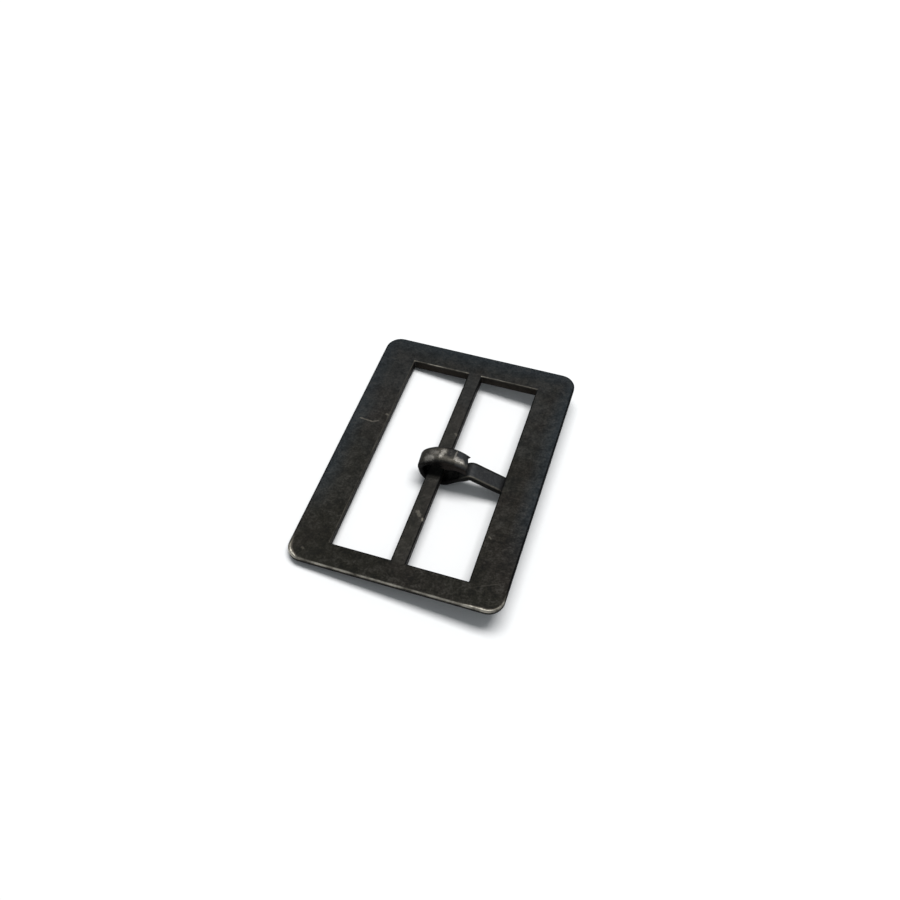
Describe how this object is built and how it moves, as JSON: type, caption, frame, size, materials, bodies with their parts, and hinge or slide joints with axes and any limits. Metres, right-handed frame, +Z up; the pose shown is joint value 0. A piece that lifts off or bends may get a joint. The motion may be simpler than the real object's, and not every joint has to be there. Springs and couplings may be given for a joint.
{
  "type": "center bar buckle",
  "caption": "Rectangular center bar belt buckle with a flat back and a loose bent tongue, lying face down and leaning on its tongue.",
  "frame": {"origin": "on the table, under the middle of the frame's outline", "axes": "+X across both windows, towards the propped-up rim that the tongue reaches under; +Y along the bar; +Z up from the table, on the side of the flat back"},
  "size_m": [0.0398, 0.0562, 0.0084],
  "materials": {
    "frame_metal": "dark gunmetal, satin, worn to bare metal along the edges",
    "tongue_metal": "blackened steel, rubbed bright on top of the curl"
  },
  "bodies": {
    "frame": {"frame": "frame_metal"},
    "tongue": {"tongue": "tongue_metal"}
  },
  "joints": [
    {"name": "tongue_swing", "type": "hinge", "parent": "frame", "child": "tongue", "pos_m": [0.00003, -0.00145, 0.00293], "axis": [0, 1, 0], "range_deg": [0, 158]}
  ]
}
